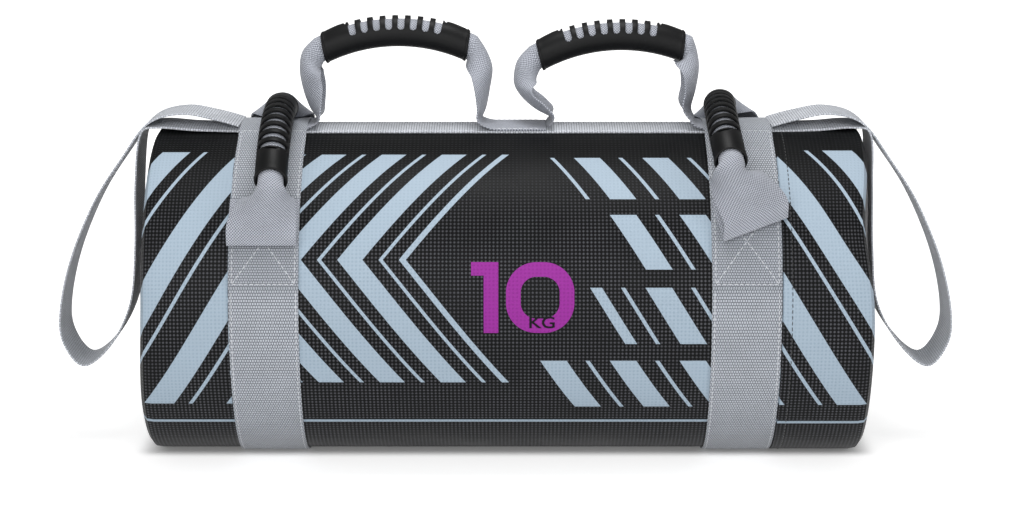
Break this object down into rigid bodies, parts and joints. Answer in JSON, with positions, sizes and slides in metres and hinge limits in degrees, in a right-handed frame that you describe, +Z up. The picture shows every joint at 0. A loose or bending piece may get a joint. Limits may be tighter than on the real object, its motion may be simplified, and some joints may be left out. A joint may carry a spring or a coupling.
{
  "type": "sandbag trainer",
  "caption": "Filled cylindrical training bag with girth straps, moulded carrying handles along and across its top, and a webbing loop at each end.",
  "frame": {"origin": "on the surface it rests on, under the middle of the bag", "axes": "+X along the bag to the right as seen from the front, +Y to the rear, +Z up"},
  "size_m": [0.6734, 0.2551, 0.3256],
  "materials": {
    "pvc": "black PVC tarpaulin with a printed pattern",
    "webbing": "silver-grey woven polyester webbing",
    "grip": "matt black moulded rubber",
    "foam": "rolled sheet foam, unseen",
    "liner": "inner bag of sand, unseen"
  },
  "bodies": {
    "bag": {"main_shell": "pvc", "right_end_sleeve": "pvc", "left_end_panel": "pvc", "right_end_panel": "pvc", "left_end_pad": "foam", "right_end_pad": "foam", "foam_roll": "foam", "left_sand_liner": "liner", "right_sand_liner": "liner", "left_girth_strap": "webbing", "right_girth_strap": "webbing", "spine_strap": "webbing", "centre_tail": "webbing", "left_outer_tail": "webbing", "right_outer_tail": "webbing", "left_loop_lower_tail": "webbing", "left_loop_upper_tail": "webbing", "right_loop_lower_tail": "webbing", "right_loop_upper_tail": "webbing", "left_front_patch": "webbing", "left_rear_patch": "webbing", "right_front_patch": "webbing", "right_rear_patch": "webbing"},
    "left_top_handle": {"left_top_webbing": "webbing", "left_top_grip": "grip"},
    "right_top_handle": {"right_top_webbing": "webbing", "right_top_grip": "grip"},
    "left_cross_handle": {"left_cross_webbing": "webbing", "left_cross_grip": "grip"},
    "right_cross_handle": {"right_cross_webbing": "webbing", "right_cross_grip": "grip"},
    "left_loop": {"left_end_loop": "webbing"},
    "right_loop": {"right_end_loop": "webbing"}
  },
  "joints": [
    {"name": "left_top_swing", "type": "hinge", "parent": "bag", "child": "left_top_handle", "pos_m": [-0.08, 0, 0.27086], "axis": [1, 0, 0], "range_deg": [-90, 90]},
    {"name": "right_top_swing", "type": "hinge", "parent": "bag", "child": "right_top_handle", "pos_m": [0.09, 0, 0.27086], "axis": [1, 0, 0], "range_deg": [-90, 90]},
    {"name": "left_cross_lift", "type": "slide", "parent": "bag", "child": "left_cross_handle", "axis": [0, 0, 1], "range_m": [0, 0.04]},
    {"name": "right_cross_lift", "type": "slide", "parent": "bag", "child": "right_cross_handle", "axis": [0, 0, 1], "range_m": [0, 0.04]},
    {"name": "left_loop_swing", "type": "hinge", "parent": "bag", "child": "left_loop", "pos_m": [-0.1981, 0, 0.24706], "axis": [0, 1, 0], "range_deg": [0, 75]},
    {"name": "right_loop_swing", "type": "hinge", "parent": "bag", "child": "right_loop", "pos_m": [0.1981, 0, 0.24706], "axis": [0, -1, 0], "range_deg": [0, 75]}
  ]
}
